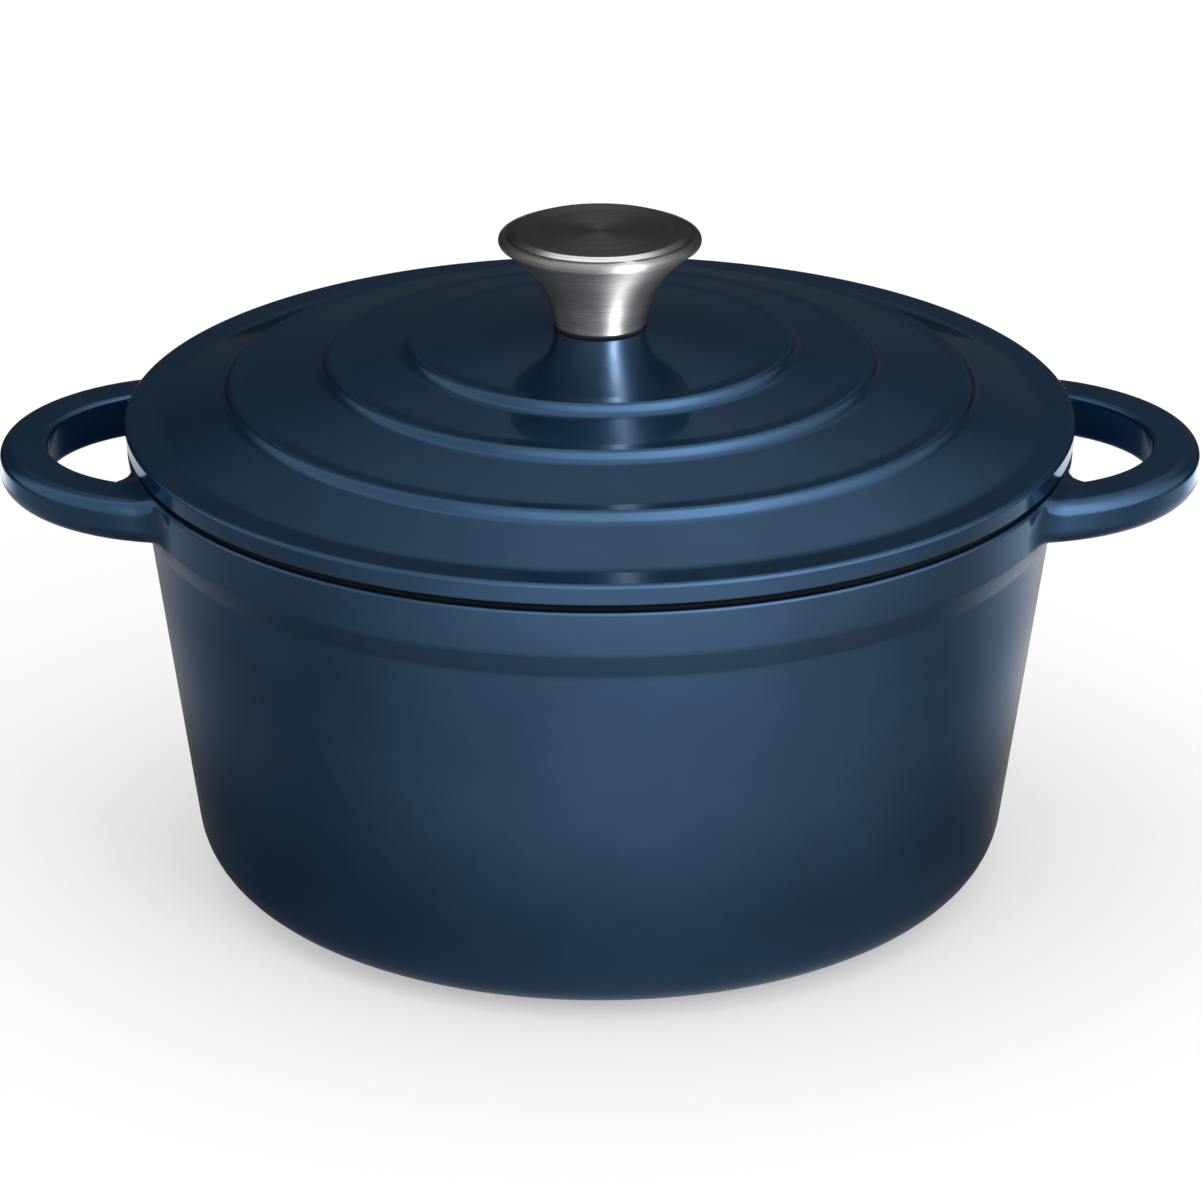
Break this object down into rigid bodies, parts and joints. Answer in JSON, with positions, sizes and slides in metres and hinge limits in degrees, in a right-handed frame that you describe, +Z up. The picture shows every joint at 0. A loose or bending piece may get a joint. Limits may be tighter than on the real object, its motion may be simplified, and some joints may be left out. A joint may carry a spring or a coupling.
{
  "type": "dutch oven",
  "caption": "Round enamelled cast iron dutch oven: tapered pot with two loop handles and a stepped domed lid that lifts off by a flared steel knob.",
  "frame": {"origin": "centre of the flat underside, on the axis of the pot", "axes": "+Z up along the axis of pot, lid and knob; the two loop handles lie along +X and -X; +Y completes the right-handed frame"},
  "size_m": [0.3426, 0.2698, 0.1899],
  "materials": {
    "blue_enamel": "glossy navy blue vitreous enamel",
    "cream_enamel": "glossy cream vitreous enamel",
    "bare_iron": "matte black ground coat on cast iron",
    "brushed_steel": "stainless steel, brushed around the axis",
    "disc_steel": "stainless steel, fine turned finish with a bright bevel",
    "insert_steel": "turned steel",
    "fastener_steel": "plain stainless steel",
    "gasket": "matte black heat-resistant silicone"
  },
  "bodies": {
    "pot": {"pot_casting": "bare_iron", "pot_outer_enamel": "blue_enamel", "pot_inner_enamel": "cream_enamel"},
    "lid_gasket": {"knob_gasket": "gasket"},
    "lid": {"lid_casting": "bare_iron", "lid_outer_enamel": "blue_enamel", "lid_inner_enamel": "cream_enamel", "knob_shell": "brushed_steel", "knob_top_disc": "disc_steel", "knob_insert": "insert_steel", "knob_screw": "fastener_steel", "screw_flat_washer": "fastener_steel", "screw_spring_washer": "fastener_steel"}
  },
  "joints": [
    {"name": "lid_lift", "type": "slide", "parent": "pot", "child": "lid_gasket", "axis": [0, 0, 1], "range_m": [0, 0.15]},
    {"name": "lid_turn", "type": "hinge", "parent": "lid_gasket", "child": "lid", "pos_m": [0, 0, 0.1619], "axis": [0, 0, 1], "continuous": true}
  ]
}
